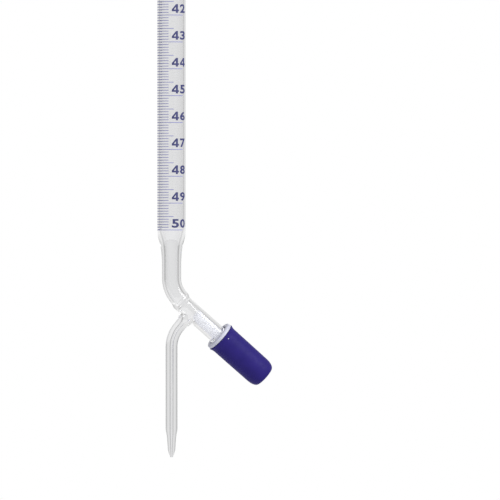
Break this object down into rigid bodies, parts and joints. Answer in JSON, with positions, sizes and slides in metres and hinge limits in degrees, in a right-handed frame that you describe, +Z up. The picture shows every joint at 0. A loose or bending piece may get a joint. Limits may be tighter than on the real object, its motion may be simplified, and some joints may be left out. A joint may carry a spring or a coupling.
{
  "type": "burette",
  "caption": "Graduated glass burette with a bent side arm, a screw-down PTFE needle valve turned by a moulded cap, and a capillary delivery jet below the tube.",
  "frame": {"origin": "on the tube's axis, at the middle of the plain neck that a clamp grips", "axes": "+Z up along the tube towards the open rim; the valve's arm slopes down towards +X; the scale faces -Y"},
  "size_m": [0.0517, 0.014, 0.779],
  "materials": {
    "glass": "clear borosilicate glass, fire polished",
    "ptfe": "white waxy machined PTFE",
    "seal_rubber": "smooth black elastomer",
    "clip_plastic": "smooth moulded plastic",
    "white_plastic": "white moulded plastic, satin",
    "blue_plastic": "deep violet-blue moulded plastic, satin"
  },
  "bodies": {
    "glassware": {"measuring_tube": "glass", "shoulder_bend": "glass", "valve_barrel": "glass", "outlet_elbow": "glass", "delivery_jet": "glass"},
    "seals": {"o_ring_front": "seal_rubber", "o_ring_rear": "seal_rubber"},
    "handle": {"valve_spindle": "ptfe", "retaining_ring": "clip_plastic", "cap_liner": "white_plastic", "handle_cap": "blue_plastic"}
  },
  "joints": [
    {"name": "valve_travel", "type": "slide", "parent": "glassware", "child": "seals", "axis": [0.7547, 0, -0.6561], "range_m": [-0.0075, 0.005]},
    {"name": "cap_turn", "type": "hinge", "parent": "seals", "child": "handle", "pos_m": [0, 0, -0.6629], "axis": [0.7547, 0, -0.6561], "range_deg": [-1080, 720]}
  ],
  "couplings": [
    {"joint": "valve_travel", "follows": "cap_turn", "m_per_rad": 0.00039789}
  ]
}
